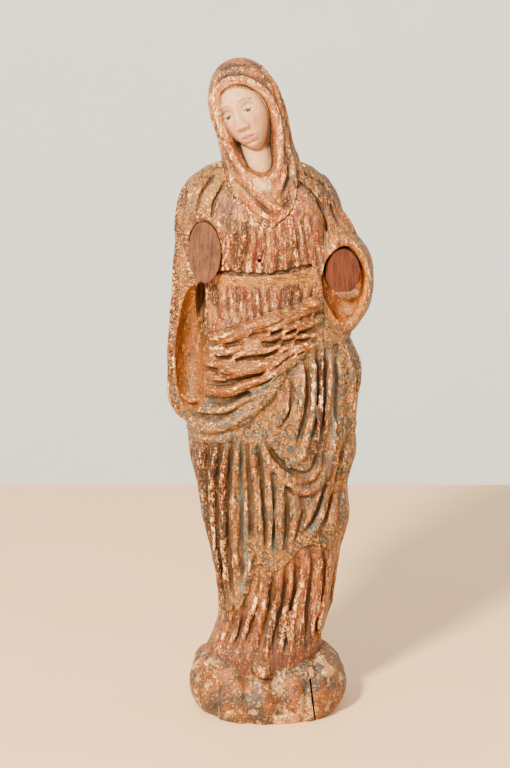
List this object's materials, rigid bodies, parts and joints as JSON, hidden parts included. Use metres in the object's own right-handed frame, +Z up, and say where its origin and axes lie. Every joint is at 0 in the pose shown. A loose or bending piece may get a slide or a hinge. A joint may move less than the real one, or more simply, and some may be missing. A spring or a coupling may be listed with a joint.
{
  "type": "madonna statue",
  "caption": "Standing carved and gilded wooden Madonna in a hooded mantle on a rocky base, the hands lost and the arm stumps sawn flat.",
  "frame": {"origin": "the middle of the bounding box's underside, on the surface that the figure stands on", "axes": "+Z up, -Y the way the figure's body faces, +X towards the viewer's right"},
  "size_m": [0.185, 0.1158, 0.5975],
  "materials": {
    "painted_wood": "worn gilding, glaze and paint over gesso",
    "gilded_wood": "worn gilding over bole and gesso",
    "sawn_wood": "bare, saw-marked",
    "base_wood": "dark paint worn to the gesso",
    "dowel_wood": "bare",
    "forged_iron": "dark and lightly rusted"
  },
  "bodies": {
    "root": {"trunk": "painted_wood", "back_board": "painted_wood", "drape_hip_left": "painted_wood", "head_block": "gilded_wood", "mantle_side_right": "gilded_wood", "mantle_elbow_left": "gilded_wood", "arm_stub_right": "sawn_wood", "arm_stub_left": "sawn_wood", "base_main": "base_wood", "base_side_left": "base_wood", "neck_dowel": "dowel_wood", "right_side_dowel_upper": "dowel_wood", "right_side_dowel_lower": "dowel_wood", "left_elbow_dowel_upper": "dowel_wood", "left_elbow_dowel_lower": "dowel_wood", "left_hip_dowel_upper": "dowel_wood", "left_hip_dowel_lower": "dowel_wood", "right_arm_dowel": "dowel_wood", "left_arm_dowel": "dowel_wood", "base_dowel_right": "dowel_wood", "base_dowel_left": "dowel_wood", "base_cross_dowel_front": "dowel_wood", "base_cross_dowel_rear": "dowel_wood", "back_nail_1": "forged_iron", "back_nail_2": "forged_iron", "back_nail_3": "forged_iron", "back_nail_4": "forged_iron"}
  },
  "joints": []
}
